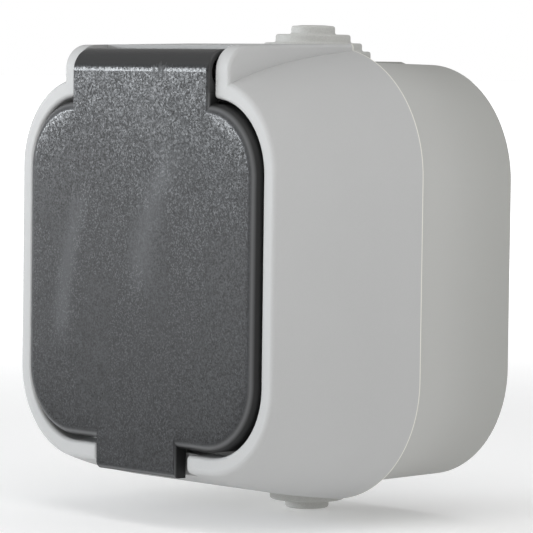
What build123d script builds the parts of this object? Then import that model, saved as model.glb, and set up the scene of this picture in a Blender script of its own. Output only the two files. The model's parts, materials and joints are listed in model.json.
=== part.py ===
from build123d import *
import os
from math import atan, cos, pi, sin, sqrt

os.makedirs("parts", exist_ok=True)

# Surface-mounted outdoor socket with a sprung flap lid, in millimetres.
# The wall face is the plane Y = 0 and the front looks along -Y; X runs right and Z up.
# Depths run forwards from the wall, so a depth of d lies at Y = -d.

# Plug recess, to the earthed two-pin pattern
plug_bore = 39.4
plug_depth = 17.5
pin_spacing = 19.0
pin_hole = 5.4
guide_rib_width = 4.6
guide_rib_rise = 2.4

# Socket dish, with its seal under the deck
dish_wall = 1.6
dish_floor = 2.5
dish_fit = 0.3
dish_setback = 0.6
dish_lip_bevel = 0.5
pin_mouth_chamfer = 0.5
dish_flange_width = 3.6
dish_flange_thickness = 1.6
dish_seal_thickness = 0.8

# Front housing: a square rim that flares back to a larger rear edge
rim_margin = 4.75
rim_wall = 2.8
rim_radius = 15.0
rim_round = 1.0
rim_inner_round = 0.7
flare = 5.85
corner_growth = 6.4
flare_straight = 0.55
flare_section_count = 3
housing_depth = 27.8
housing_wall = 2.0
lid_recess_depth = 4.8
deck_thickness = 2.2
collar_width = 3.0
collar_height = 1.5
ledge_thickness = 2.0

# Rear box, which slides inside the housing's rear edge
box_depth = 23.5
box_wall = 2.2
box_floor = 2.5
box_draft = 0.4
box_corner_step = 1.3
joint_fit = 0.2
spigot_height = 4.0
joint_gasket_thickness = 0.8
gasket_inset = 0.15
wall_slot_length = 9.0
wall_slot_width = 4.5
wall_slot_spacing = 48.0
knockout_radius = 9.0
knockout_groove = 1.0
knockout_groove_depth = 0.8

# Cable grommets: the radius and height of each step, from the box outwards
entry_parting_gap = 0.5
entry_hole_radius = 8.3
grommet_steps = [(10.0, 1.7), (8.5, 1.4), (6.5, 1.45), (3.8, 1.6)]
grommet_wall = 1.1
grommet_fit = 0.1
grommet_flange = 1.3
grommet_flange_thickness = 1.4
grommet_bevel = 0.3
entry_pad_width = 23.2
entry_pad_length = 20.2
entry_pad_rise = 0.45
entry_pad_slope = 1.5

# Lid
lid_proud = 1.3
lid_thickness = 2.4
lid_side_gap = 0.3
lid_top_gap = 0.75
lid_bottom_gap = 0.9
lid_edge_round = 1.8
lid_gasket_overlap = 0.9
lid_gasket_gap = 0.2
skirt_wall = 1.4
skirt_depth = 2.9
thumb_tab_width = 19.8
thumb_tab_thickness = 2.7
thumb_tab_lap = 0.3
thumb_tab_drop = 1.25
thumb_tab_round = 1.2
notch_side_gap = 1.5
notch_floor_gap = 0.9
notch_round = 0.8

# Hinge
knuckle_radius = 3.8
knuckle_gap = 0.5
hinge_rise = 1.5
hinge_tab_width = 34.6
hinge_tab_round = 0.5
hinge_side_gap = 0.5
hinge_wall = 3.2
hinge_backing = 2.5
block_cover = 0.5
block_rise = 0.7
block_round = 4.2
block_edge_round = 0.6
pin_radius = 1.2
pin_running_fit = 0.05
pin_press_fit = 0.02
pin_seat = 2.2
pin_recess = 0.3

# Lid spring, wound around the pin inside the right end of the knuckle
spring_wire_radius = 0.35
spring_wire_sides = 8
spring_radius = 2.1
spring_turns = 4
spring_pitch = 1.3
spring_pocket_gap = 0.45
spring_leg = 1.6
spring_leg_fit = 0.1
spring_bend = 0.7

# Contact carrier and the steel ring that hangs it in the box
carrier_depth = 15.4
carrier_flange = 2.4
carrier_flange_width = 2.0
carrier_side = 11.0
carrier_height = 30.0
carrier_corner = 6.0
ring_thickness = 1.0
ring_width = 1.6
ring_fit = 0.3
ring_ear_width = 9.0
ring_ear_round = 1.5
ring_slot_travel = 1.5

# Pin sleeves, terminals and the earth bar
sleeve_bore = 4.9
sleeve_wall = 0.75
sleeve_length = 12.5
sleeve_setback = 0.4
sleeve_slit = 0.8
contact_fit = 0.2
link_width = 5.0
link_thickness = 1.0
terminal_gap = 0.5
terminal_width = 5.0
terminal_height = 15.0
terminal_depth = 7.8
terminal_setback = 0.4
terminal_pitch = 8.0
wire_hole_radius = 1.3
wire_hole_inset = 3.3
wire_hole_depth = 5.4
earth_width = 4.6
earth_thickness = 0.8
earth_base_width = 8.0
earth_base_length = 24.0
earth_slot_reach = 1.2
earth_bend = 0.9
earth_root_gap = 1.3
earth_touch_gap = 3.1
earth_tip_gap = 0.9
earth_tip_setback = 1.4
earth_leg_offset = 6.0
earth_leg_width = 4.0
earth_terminal_width = 7.0
earth_terminal_height = 6.8

# Fasteners
screw_head_radius = 2.9
screw_head_height = 1.9
screw_shank_radius = 1.5
screw_fit = 0.3
screw_bite_fit = 0.05
screw_boss_wall = 2.5
screw_boss_gap = 1.5
housing_screw_bite = 10.0
housing_screw_sink = 0.5
pillar_rise = 2.5
support_screw_bite = 8.0
support_inset = 3.4
support_wall_tie = 0.55
centre_screw_length = 12.0
centre_screw_web = 1.0
terminal_head_radius = 2.3
terminal_head_height = 1.6
terminal_shank_radius = 1.4
terminal_shank_length = 2.3
rivet_radius = 1.2
rivet_head_radius = 1.9
rivet_head_height = 0.9
rivet_across = 10.0
rivet_inset = 2.0
rivet_sink = 0.1
drive_slot = 0.9
drive_depth_share = 0.55
head_bevel_share = 0.35

# Places worked out from the sizes above: outlines seen from the front
plug_radius = plug_bore / 2
dish_radius = plug_radius + dish_wall
dish_opening_radius = dish_radius + dish_fit
dish_flange_radius = dish_radius + dish_flange_width
collar_radius = dish_opening_radius + collar_width
recess_half = collar_radius + rim_margin
rim_half = recess_half + rim_wall
parting_size = 2 * (rim_half + flare)
parting_radius = rim_radius + corner_growth
box_front_size = parting_size - 2 * (housing_wall + joint_fit)
box_rear_size = box_front_size - 2 * box_draft
box_front_radius = parting_radius - box_corner_step
box_rear_radius = box_front_radius - box_draft
box_inner_half = box_front_size / 2 - box_wall
screw_boss_radius = screw_shank_radius + screw_boss_wall
screw_reach = dish_flange_radius + screw_boss_gap + screw_boss_radius
screw_corner = screw_reach / sqrt(2)
housing_screw_places = [(-screw_corner, screw_corner), (screw_corner, -screw_corner)]
support_x = box_inner_half - support_inset
pin_x = pin_spacing / 2
entry_depth = box_depth - entry_parting_gap - grommet_steps[0][0]

# Depths from the wall
rim_depth = box_depth + housing_depth
deck_front = rim_depth - lid_recess_depth
deck_back = deck_front - deck_thickness
collar_front = deck_front + collar_height
spigot_front = box_depth + spigot_height
ledge_back = spigot_front + joint_gasket_thickness
pillar_front = box_depth + pillar_rise
dish_front = collar_front - dish_setback
dish_floor_front = dish_front - plug_depth
dish_flange_front = deck_back - dish_seal_thickness
carrier_front = dish_floor_front - dish_floor
carrier_back = carrier_front - carrier_depth
ring_front = carrier_front - carrier_flange
ring_back = ring_front - ring_thickness
lid_face = rim_depth + lid_proud
lid_back = lid_face - lid_thickness
gasket_back = collar_front + lid_gasket_gap

# Hinge axis and the space around it
hinge_depth = lid_face - knuckle_radius
hinge_z = rim_half + hinge_rise
tab_half = hinge_tab_width / 2
slot_half = tab_half + hinge_side_gap
block_half = slot_half + hinge_wall
block_top = hinge_z + knuckle_radius + block_cover
slot_back = hinge_depth - knuckle_radius - knuckle_gap
slot_foot = recess_half - knuckle_gap
pin_hole_end = slot_half + pin_seat
hinge_axis = (-hinge_depth, hinge_z)
spring_slope = atan(spring_pitch / (2 * pi * spring_radius))
spring_leg_shift = spring_bend * (1 - sin(spring_slope))
lid_leg_axis = (-hinge_depth + spring_leg_shift, hinge_z + spring_radius)
housing_leg_axis = (-hinge_depth - spring_leg_shift, hinge_z + spring_radius)


def at_depth(depth):
    """A sketch plane that faces the front, at a depth from the wall."""
    return Plane.XZ.offset(depth)


def flare_outline(depth, inset):
    """Side length and corner radius of the housing's outline at a depth, drawn in by an inset."""
    along = (depth - box_depth) / housing_depth
    drawn_in = flare_straight * along + (1 - flare_straight) * along**3
    size = parting_size - 2 * flare * drawn_in - 2 * inset
    radius = parting_radius - corner_growth * drawn_in - inset
    return size, radius


def even_steps(start, end, count):
    """Evenly spaced values from start to end, both included."""
    return [start + (end - start) * step / count for step in range(count + 1)]


def screw(head_radius, head_height, shank_radius, shank_length):
    """One cross-drive screw, with the seat of its head at the origin and its shank along -Z."""
    with BuildPart() as body:
        Cylinder(head_radius, head_height, align=(Align.CENTER, Align.CENTER, Align.MIN))
        chamfer(body.edges().sort_by(Axis.Z)[-1], head_height * head_bevel_share)
        Cylinder(shank_radius, shank_length, align=(Align.CENTER, Align.CENTER, Align.MAX))
        with BuildSketch(Plane.XY.offset(head_height)):
            Rectangle(head_radius, drive_slot)
            Rectangle(drive_slot, head_radius)
        extrude(amount=-head_height * drive_depth_share, mode=Mode.SUBTRACT)
    return body.part


# Front housing: the flared shell, its hinge block, and the deck under the lid
with BuildPart() as hinge_block:
    with BuildSketch(Plane.YZ):
        with BuildLine():
            Polyline(
                (-box_depth, slot_foot),
                (-box_depth, block_top + block_rise),
                (-rim_depth, block_top),
                (-rim_depth, slot_foot),
                close=True,
            )
        make_face()
    extrude(amount=block_half, both=True)
    front_top_edge = hinge_block.edges().filter_by(Axis.X).group_by(Axis.Y)[0].sort_by(Axis.Z)[-1]
    fillet(front_top_edge, block_round)
    block_foot_edges = hinge_block.faces().sort_by(Axis.Z)[0].edges()
    block_rear_edges = hinge_block.faces().sort_by(Axis.Y)[-1].edges()
    side_edges = hinge_block.faces().filter_by(Axis.X).edges()
    fillet(side_edges - block_foot_edges - block_rear_edges, block_edge_round)

with BuildPart() as front_housing:
    for depth in even_steps(box_depth, rim_depth, flare_section_count):
        with BuildSketch(at_depth(depth)):
            size, radius = flare_outline(depth, 0)
            RectangleRounded(size, size, radius)
    loft()
    fillet(front_housing.faces().sort_by(Axis.Y)[0].edges(), rim_round)
    add(hinge_block.part)
    # The hollow behind the deck, and the core behind the hinge slot
    for depth in even_steps(box_depth, deck_back, flare_section_count):
        with BuildSketch(at_depth(depth)):
            size, radius = flare_outline(depth, housing_wall)
            RectangleRounded(size, size, radius)
    loft(mode=Mode.SUBTRACT)
    with BuildSketch(at_depth(box_depth)):
        spigot_pocket = box_front_size + 2 * joint_fit
        RectangleRounded(spigot_pocket, spigot_pocket, box_front_radius + joint_fit)
    extrude(amount=ledge_back - box_depth, mode=Mode.SUBTRACT)
    core_front = slot_back - hinge_backing
    with BuildSketch(at_depth(ledge_back + ledge_thickness)):
        with Locations((0, block_top - housing_wall)):
            Rectangle(2 * slot_half, block_top - recess_half, align=(Align.CENTER, Align.MAX))
    extrude(amount=core_front - ledge_back - ledge_thickness, mode=Mode.SUBTRACT)
    with BuildSketch(at_depth(core_front)):
        with Locations((0, block_top - housing_wall)):
            Rectangle(
                2 * block_half - hinge_wall,
                block_top - housing_wall - recess_half + hinge_wall,
                align=(Align.CENTER, Align.MAX),
            )
    extrude(amount=deck_front - core_front)
    # The ledge that presses the joint gasket, and the tubes for the housing screws
    with BuildSketch(at_depth(ledge_back)):
        size, radius = flare_outline(ledge_back, housing_wall / 2)
        RectangleRounded(size, size, radius)
        ledge_inner = 2 * box_inner_half
        RectangleRounded(ledge_inner, ledge_inner, box_front_radius - box_wall, mode=Mode.SUBTRACT)
    extrude(amount=ledge_thickness)
    with BuildSketch(at_depth(pillar_front)):
        with Locations(*housing_screw_places):
            Circle(screw_boss_radius)
    extrude(amount=deck_back - pillar_front)
    # The lid's recess, the collar around the dish and the notch for the thumb tab
    with BuildSketch(at_depth(deck_front)):
        RectangleRounded(2 * recess_half, 2 * recess_half, rim_radius - rim_wall)
    extrude(amount=lid_recess_depth, mode=Mode.SUBTRACT)
    fillet(front_housing.faces().sort_by(Axis.Y)[0].inner_wires()[0].edges(), rim_inner_round)
    with BuildSketch(at_depth(deck_front)):
        Circle(collar_radius)
    extrude(amount=collar_height)
    with BuildSketch(at_depth(deck_back)):
        Circle(dish_opening_radius)
    extrude(amount=deck_thickness + collar_height, mode=Mode.SUBTRACT)
    notch_half = thumb_tab_width / 2 + notch_side_gap
    notch_floor = lid_face - thumb_tab_thickness - notch_floor_gap
    with BuildSketch(at_depth(notch_floor)):
        with Locations((0, -recess_half + rim_wall / 2)):
            Rectangle(2 * notch_half, flare + 2 * rim_wall, align=(Align.CENTER, Align.MAX))
    extrude(amount=rim_depth - notch_floor, mode=Mode.SUBTRACT)
    rim_edges = front_housing.faces().sort_by(Axis.Y)[0].edges()
    fillet(rim_edges.filter_by(Axis.Z).group_by(Axis.Z)[0], notch_round)
    # The hinge slot, the pin's hole (blind on the right) and the hole for the spring's fixed leg
    with BuildSketch(at_depth(slot_back)):
        with Locations((0, slot_foot)):
            slot_height = block_top + block_rise - slot_foot
            Rectangle(2 * slot_half, slot_height, align=(Align.CENTER, Align.MIN))
    extrude(amount=rim_depth - slot_back, mode=Mode.SUBTRACT)
    with BuildSketch(Plane.YZ.offset(-block_half)):
        with Locations(hinge_axis):
            Circle(pin_radius + pin_press_fit)
    extrude(amount=block_half + pin_hole_end, mode=Mode.SUBTRACT)
    with BuildSketch(Plane.YZ.offset(slot_half)):
        with Locations(housing_leg_axis):
            Circle(spring_wire_radius + spring_leg_fit)
    extrude(amount=spring_leg, mode=Mode.SUBTRACT)
    # Counterbored holes for the housing screws
    with Locations(at_depth(deck_front)):
        with Locations(*housing_screw_places):
            CounterBoreHole(
                screw_shank_radius + screw_fit,
                screw_head_radius + screw_fit,
                screw_head_height + housing_screw_sink,
                deck_front - pillar_front,
            )

# Rear box: drafted walls, spigot, entry pads, and the pillars that the screws bite into
with BuildPart() as rear_box:
    for depth, size, radius in (
        (0, box_rear_size, box_rear_radius),
        (box_depth, box_front_size, box_front_radius),
    ):
        with BuildSketch(at_depth(depth)):
            RectangleRounded(size, size, radius)
    loft(ruled=True)
    with BuildSketch(at_depth(box_depth)):
        RectangleRounded(box_front_size, box_front_size, box_front_radius)
    extrude(amount=spigot_height)
    entry_pad_half = box_rear_size / 2 + entry_pad_rise
    pad_front = -entry_depth - entry_pad_length / 2
    pad_rear = -entry_depth + entry_pad_length / 2
    with BuildSketch(Plane.YZ):
        with BuildLine():
            Polyline(
                (pad_front, entry_pad_half),
                (pad_rear, entry_pad_half),
                (pad_rear + entry_pad_slope, entry_pad_half - entry_pad_rise),
                (pad_rear + entry_pad_slope, entry_pad_rise - entry_pad_half),
                (pad_rear, -entry_pad_half),
                (pad_front, -entry_pad_half),
                close=True,
            )
        make_face()
    extrude(amount=entry_pad_width / 2, both=True)
    # The hollow, open to the front
    for depth, size, radius in (
        (box_floor, box_rear_size - 2 * box_wall, box_rear_radius - box_wall),
        (spigot_front, 2 * box_inner_half, box_front_radius - box_wall),
    ):
        with BuildSketch(at_depth(depth)):
            RectangleRounded(size, size, radius)
    loft(ruled=True, mode=Mode.SUBTRACT)
    # Pillars for the support ring, tied to the side walls, and for the housing
    with BuildSketch(at_depth(box_floor)):
        with Locations((-support_x, 0), (support_x, 0)):
            Circle(support_inset + support_wall_tie)
    extrude(amount=ring_back - box_floor)
    with BuildSketch(at_depth(box_floor)):
        with Locations(*housing_screw_places):
            Circle(screw_boss_radius)
    extrude(amount=pillar_front - box_floor)
    with Locations(at_depth(ring_back)):
        with Locations((-support_x, 0), (support_x, 0)):
            Hole(screw_shank_radius + screw_bite_fit, support_screw_bite + box_floor)
    with Locations(at_depth(pillar_front)):
        with Locations(*housing_screw_places):
            Hole(screw_shank_radius + screw_bite_fit, pillar_front - 2 * box_floor)
    # Cable entries, wall-screw slots and, inside the floor, the ring groove of the rear knockout
    with BuildSketch(Plane.XY.offset(-entry_pad_half)):
        with Locations((0, -entry_depth)):
            Circle(entry_hole_radius)
    extrude(amount=2 * entry_pad_half, mode=Mode.SUBTRACT)
    with BuildSketch(at_depth(0)):
        with Locations((0, -wall_slot_spacing / 2), (0, wall_slot_spacing / 2)):
            SlotOverall(wall_slot_length, wall_slot_width, rotation=90)
    extrude(amount=box_floor, mode=Mode.SUBTRACT)
    with BuildSketch(at_depth(box_floor)):
        Circle(knockout_radius)
        Circle(knockout_radius - knockout_groove, mode=Mode.SUBTRACT)
    extrude(amount=-knockout_groove_depth, mode=Mode.SUBTRACT)

# Stepped grommets, hollow behind their steps, held by a groove around the box's wall
grommet_foot = box_rear_size / 2 - box_wall - grommet_fit
neck_radius = entry_hole_radius - grommet_fit
step_heights = [height for _, height in grommet_steps]
step_tops = [entry_pad_half + sum(step_heights[: n + 1]) for n in range(len(step_heights))]
with BuildPart() as top_grommet:
    for (radius, height), top in zip(grommet_steps, step_tops):
        with BuildSketch(Plane.XY.offset(top - height)):
            with Locations((0, -entry_depth)):
                Circle(radius)
        extrude(amount=height)
        chamfer(top_grommet.edges().filter_by(GeomType.CIRCLE).sort_by(Axis.Z)[-1], grommet_bevel)
    with BuildSketch(Plane.XY.offset(grommet_foot)):
        with Locations((0, -entry_depth)):
            Circle(neck_radius)
    extrude(amount=entry_pad_half - grommet_foot)
    with BuildSketch(Plane.XY.offset(grommet_foot)):
        with Locations((0, -entry_depth)):
            Circle(entry_hole_radius + grommet_flange)
    extrude(amount=-grommet_flange_thickness)
    for (radius, _), top in zip(grommet_steps, step_tops):
        with BuildSketch(Plane.XY.offset(top - grommet_wall)):
            with Locations((0, -entry_depth)):
                Circle(min(radius, neck_radius) - grommet_wall)
        extrude(amount=grommet_foot - grommet_flange_thickness - top + grommet_wall, mode=Mode.SUBTRACT)

with BuildPart() as bottom_grommet:
    mirror(top_grommet.part, about=Plane.XY)

# Flat gasket between the box's spigot and the housing's ledge
with BuildPart() as joint_gasket:
    with BuildSketch(at_depth(spigot_front)):
        gasket_outer = box_front_size - 2 * gasket_inset
        RectangleRounded(gasket_outer, gasket_outer, box_front_radius - gasket_inset)
        gasket_inner = 2 * (box_inner_half + gasket_inset)
        gasket_inner_radius = box_front_radius - box_wall + gasket_inset
        RectangleRounded(gasket_inner, gasket_inner, gasket_inner_radius, mode=Mode.SUBTRACT)
    extrude(amount=joint_gasket_thickness)

housing_screw_seat = deck_front - screw_head_height - housing_screw_sink
housing_screw_length = housing_screw_seat - pillar_front + housing_screw_bite
housing_screw = screw(screw_head_radius, screw_head_height, screw_shank_radius, housing_screw_length)
with BuildPart() as housing_screws:
    with Locations(at_depth(housing_screw_seat)):
        with Locations(*housing_screw_places):
            add(housing_screw)

# Socket dish: the round plug recess with its guide ribs, pin holes and earth slots
earth_root_z = plug_radius - earth_root_gap
with BuildPart() as socket_dish:
    with BuildSketch(at_depth(carrier_front)):
        Circle(dish_radius)
    extrude(amount=dish_front - carrier_front)
    with BuildSketch(at_depth(dish_flange_front - dish_flange_thickness)):
        Circle(dish_flange_radius)
    extrude(amount=dish_flange_thickness)
    with BuildSketch(at_depth(dish_floor_front)):
        Circle(plug_radius)
    extrude(amount=plug_depth, mode=Mode.SUBTRACT)
    chamfer(socket_dish.faces().sort_by(Axis.Y)[0].edges(), dish_lip_bevel)
    with BuildSketch(at_depth(dish_floor_front)):
        with Locations((-plug_radius, 0), (plug_radius, 0)):
            Rectangle(2 * guide_rib_rise, guide_rib_width)
        Circle(plug_radius + dish_wall / 2, mode=Mode.INTERSECT)
    extrude(amount=plug_depth - 2 * dish_lip_bevel)
    with BuildSketch(at_depth(carrier_front)):
        with Locations((-pin_x, 0), (pin_x, 0)):
            Circle(pin_hole / 2)
        with Locations((0, -earth_root_z), (0, earth_root_z)):
            Rectangle(earth_width + 2 * contact_fit, 2 * earth_slot_reach)
    extrude(amount=dish_floor, mode=Mode.SUBTRACT)
    with Locations(at_depth(dish_floor_front)):
        CounterBoreHole(
            screw_shank_radius + screw_fit,
            screw_head_radius + screw_fit,
            dish_floor - centre_screw_web,
            dish_floor,
        )
    round_edges = socket_dish.edges().filter_by(GeomType.CIRCLE)
    pin_edges = round_edges.filter_by(lambda edge: abs(edge.radius - pin_hole / 2) < contact_fit)
    chamfer(pin_edges.group_by(Axis.Y)[0], pin_mouth_chamfer)

with BuildPart() as dish_seal:
    with BuildSketch(at_depth(dish_flange_front)):
        Circle(dish_flange_radius - gasket_inset)
        Circle(dish_opening_radius, mode=Mode.SUBTRACT)
    extrude(amount=dish_seal_thickness)

centre_screw_part = screw(screw_head_radius, screw_head_height, screw_shank_radius, centre_screw_length)
with BuildPart() as centre_screw:
    with Locations(at_depth(carrier_front + centre_screw_web)):
        add(centre_screw_part)

# Contact carrier, with chambers for the sleeves, terminals and earth bar
sleeve_radius = sleeve_bore / 2 + sleeve_wall
sleeve_front = carrier_front - sleeve_setback
sleeve_back = sleeve_front - sleeve_length
terminal_inner = pin_x + sleeve_radius + terminal_gap
terminal_back = carrier_back + terminal_setback
terminal_front = terminal_back + terminal_depth
carrier_half_width = pin_x + carrier_side
carrier_flange_radius = dish_radius + carrier_flange_width
earth_leg_face = earth_leg_offset + earth_thickness / 2
rivet_up = sqrt((carrier_flange_radius - rivet_inset) ** 2 - rivet_across**2)
rivet_places = [(rivet_across, rivet_up), (-rivet_across, -rivet_up)]
with BuildPart() as contact_carrier:
    with BuildSketch(at_depth(carrier_back)):
        RectangleRounded(2 * carrier_half_width, carrier_height, carrier_corner)
    extrude(amount=carrier_front - carrier_back)
    with BuildSketch(at_depth(ring_front)):
        Circle(carrier_flange_radius)
    extrude(amount=carrier_flange)
    with BuildSketch(at_depth(sleeve_back - contact_fit)):
        with Locations((-pin_x, 0), (pin_x, 0)):
            Circle(sleeve_radius + contact_fit)
    extrude(amount=carrier_front - sleeve_back + contact_fit, mode=Mode.SUBTRACT)
    # Open to the back: slots for the links, pockets for the terminals, open at their screws
    with BuildSketch(at_depth(carrier_back)):
        with Locations((-pin_x, 0), (pin_x, 0)):
            Rectangle(2 * (terminal_inner - pin_x), link_width + 2 * contact_fit)
    extrude(amount=sleeve_back + link_thickness + contact_fit - carrier_back, mode=Mode.SUBTRACT)
    with BuildSketch(at_depth(carrier_back)):
        pocket_height = terminal_height + 2 * contact_fit
        Rectangle(2 * carrier_half_width, pocket_height)
        Rectangle(2 * (terminal_inner - contact_fit), pocket_height, mode=Mode.SUBTRACT)
        with Locations((0, -earth_leg_offset)):
            Rectangle(
                earth_terminal_width + 2 * contact_fit,
                carrier_height / 2 - earth_leg_offset,
                align=(Align.CENTER, Align.MAX),
            )
    extrude(amount=terminal_front + contact_fit - carrier_back, mode=Mode.SUBTRACT)
    # Open to the front: the earth bar's channel and its leg, the centre screw and the rivets
    with BuildSketch(at_depth(carrier_front - earth_thickness)):
        Rectangle(earth_base_width + 2 * contact_fit, earth_base_length + 2 * contact_fit)
        Rectangle(earth_width + 2 * contact_fit, 2 * (earth_root_z + earth_thickness / 2 + contact_fit))
    extrude(amount=earth_thickness, mode=Mode.SUBTRACT)
    with BuildSketch(at_depth(carrier_back)):
        with Locations((0, -earth_leg_offset)):
            Rectangle(earth_leg_width + 2 * contact_fit, earth_thickness + 2 * contact_fit)
    extrude(amount=carrier_depth, mode=Mode.SUBTRACT)
    with Locations(at_depth(carrier_front)):
        Hole(screw_shank_radius + screw_bite_fit, carrier_depth)
        with Locations(*rivet_places):
            CounterBoreHole(
                rivet_radius + screw_bite_fit,
                rivet_head_radius + contact_fit,
                rivet_head_height + rivet_sink,
                carrier_flange,
            )

# Steel ring that hangs the carrier between the box's side pillars
with BuildPart() as support_ring:
    with BuildSketch(at_depth(ring_back)):
        Circle(carrier_flange_radius + ring_width)
        Rectangle(2 * (support_x + support_inset - ring_fit), ring_ear_width)
        RectangleRounded(
            2 * (carrier_half_width + ring_fit),
            carrier_height + 2 * ring_fit,
            carrier_corner + ring_fit,
            mode=Mode.SUBTRACT,
        )
        with Locations((-support_x, 0), (support_x, 0)):
            SlotCenterToCenter(ring_slot_travel, 2 * (screw_shank_radius + screw_fit), mode=Mode.SUBTRACT)
        with Locations(*rivet_places):
            Circle(rivet_radius + screw_bite_fit, mode=Mode.SUBTRACT)
    extrude(amount=ring_thickness)
    ring_edges = support_ring.edges().filter_by(Axis.Y).group_by(Axis.X)
    fillet(ring_edges[0] + ring_edges[-1], ring_ear_round)

support_screw = screw(
    screw_head_radius, screw_head_height, screw_shank_radius, ring_thickness + support_screw_bite
)
with BuildPart() as support_screws:
    with Locations(at_depth(ring_front)):
        with Locations((-support_x, 0), (support_x, 0)):
            add(support_screw)

with BuildPart() as carrier_rivets:
    rivet_front = carrier_front - rivet_sink
    for back, front, radius in (
        (ring_back - rivet_head_height, ring_back, rivet_head_radius),
        (ring_back, rivet_front, rivet_radius),
        (rivet_front - rivet_head_height, rivet_front, rivet_head_radius),
    ):
        with BuildSketch(at_depth(back)):
            with Locations(*rivet_places):
                Circle(radius)
        extrude(amount=front - back)

# Pin contacts: a slit sleeve with a link to its terminal block
with BuildPart() as live_contact_right:
    with BuildSketch(at_depth(sleeve_back)):
        with Locations((pin_x, 0)):
            Circle(sleeve_radius)
        with Locations((terminal_inner, 0)):
            Rectangle(terminal_gap + sleeve_wall, link_width, align=(Align.MAX, Align.CENTER))
    extrude(amount=link_thickness)
    with BuildSketch(at_depth(sleeve_back)):
        with Locations((pin_x, 0)):
            Circle(sleeve_radius)
    extrude(amount=sleeve_length)
    with BuildSketch(at_depth(sleeve_back)):
        with Locations((pin_x, 0)):
            Circle(sleeve_bore / 2)
            Rectangle(sleeve_radius, sleeve_slit, align=(Align.MAX, Align.CENTER))
    extrude(amount=sleeve_length, mode=Mode.SUBTRACT)

with BuildPart() as live_contact_left:
    mirror(live_contact_right.part, about=Plane.YZ)

terminal_outer = terminal_inner + terminal_width
terminal_screw_depth = (terminal_back + terminal_front) / 2
with BuildPart() as terminal_block_right:
    with BuildSketch(at_depth(terminal_back)):
        with Locations((terminal_inner, 0)):
            Rectangle(terminal_width, terminal_height, align=(Align.MIN, Align.CENTER))
    extrude(amount=terminal_depth)
    with BuildSketch(at_depth(terminal_back)):
        with Locations((terminal_outer - wire_hole_inset, 0)):
            with GridLocations(0, terminal_pitch, 1, 2):
                Circle(wire_hole_radius)
    extrude(amount=wire_hole_depth, mode=Mode.SUBTRACT)
    with BuildSketch(Plane.YZ.offset(terminal_outer)):
        with Locations((-terminal_screw_depth, 0)):
            with GridLocations(0, terminal_pitch, 1, 2):
                Circle(terminal_shank_radius + screw_bite_fit)
    extrude(amount=-wire_hole_inset, mode=Mode.SUBTRACT)

with BuildPart() as terminal_block_left:
    mirror(terminal_block_right.part, about=Plane.YZ)

# Earth bar: a strip across the carrier, bent forwards into two side clips
earth_touch_depth = (dish_floor_front + dish_front) / 2
earth_strip_depth = carrier_front - earth_thickness / 2
earth_tip = (-dish_front + earth_tip_setback, plug_radius - earth_tip_gap)
earth_touch = (-earth_touch_depth, plug_radius - earth_touch_gap)
with BuildPart() as earth_bar:
    with BuildSketch(Plane.YZ):
        with BuildLine():
            FilletPolyline(
                earth_tip,
                earth_touch,
                (-earth_strip_depth, earth_root_z),
                (-earth_strip_depth, -earth_root_z),
                (earth_touch[0], -earth_touch[1]),
                (earth_tip[0], -earth_tip[1]),
                radius=earth_bend,
            )
        trace(line_width=earth_thickness)
    extrude(amount=earth_width / 2, both=True)
    with BuildSketch(at_depth(carrier_front - earth_thickness)):
        Rectangle(earth_base_width, earth_base_length)
    extrude(amount=earth_thickness)
    with BuildSketch(at_depth(terminal_back)):
        with Locations((0, -earth_leg_offset)):
            Rectangle(earth_leg_width, earth_thickness)
    extrude(amount=carrier_front - earth_thickness - terminal_back)
    with Locations(at_depth(carrier_front)):
        Hole(screw_shank_radius + screw_fit, earth_thickness)

earth_terminal_low = -earth_leg_face - earth_terminal_height
with BuildPart() as earth_terminal_block:
    with BuildSketch(at_depth(terminal_back)):
        with Locations((0, -earth_leg_face)):
            Rectangle(earth_terminal_width, earth_terminal_height, align=(Align.CENTER, Align.MAX))
    extrude(amount=terminal_depth)
    with BuildSketch(at_depth(terminal_back)):
        with Locations((0, earth_terminal_low + wire_hole_inset)):
            Circle(wire_hole_radius)
    extrude(amount=wire_hole_depth, mode=Mode.SUBTRACT)
    with BuildSketch(Plane.XY.offset(earth_terminal_low)):
        with Locations((0, -terminal_screw_depth)):
            Circle(terminal_shank_radius + screw_bite_fit)
    extrude(amount=wire_hole_inset, mode=Mode.SUBTRACT)

terminal_screw = screw(
    terminal_head_radius, terminal_head_height, terminal_shank_radius, terminal_shank_length
)
terminal_screw_x = terminal_outer + screw_bite_fit
terminal_screw_z = terminal_pitch / 2
terminal_screw_planes = [
    Plane(origin=(side * terminal_screw_x, -terminal_screw_depth, height), z_dir=(side, 0, 0))
    for side in (-1, 1)
    for height in (-terminal_screw_z, terminal_screw_z)
]
terminal_screw_planes.append(
    Plane(origin=(0, -terminal_screw_depth, earth_terminal_low - screw_bite_fit), z_dir=(0, 0, -1))
)
with BuildPart() as terminal_screws:
    with Locations(*terminal_screw_planes):
        add(terminal_screw)

# Lid: a plate with rounded edges, a hinge tab rolled into the knuckle, and a thumb tab
lid_half = recess_half - lid_side_gap
lid_top = recess_half - lid_top_gap
lid_bottom = -recess_half + lid_bottom_gap
lid_corner = rim_radius - rim_wall - lid_side_gap
spring_pocket_radius = spring_radius + spring_wire_radius + spring_pocket_gap
spring_length = spring_turns * spring_pitch
spring_start = tab_half - spring_pocket_gap - spring_wire_radius - spring_length
with BuildPart() as knuckle:
    with BuildSketch(Plane.YZ):
        with Locations(hinge_axis):
            Circle(knuckle_radius)
    extrude(amount=tab_half, both=True)
    fillet(knuckle.edges().filter_by(GeomType.CIRCLE), hinge_tab_round)

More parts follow.
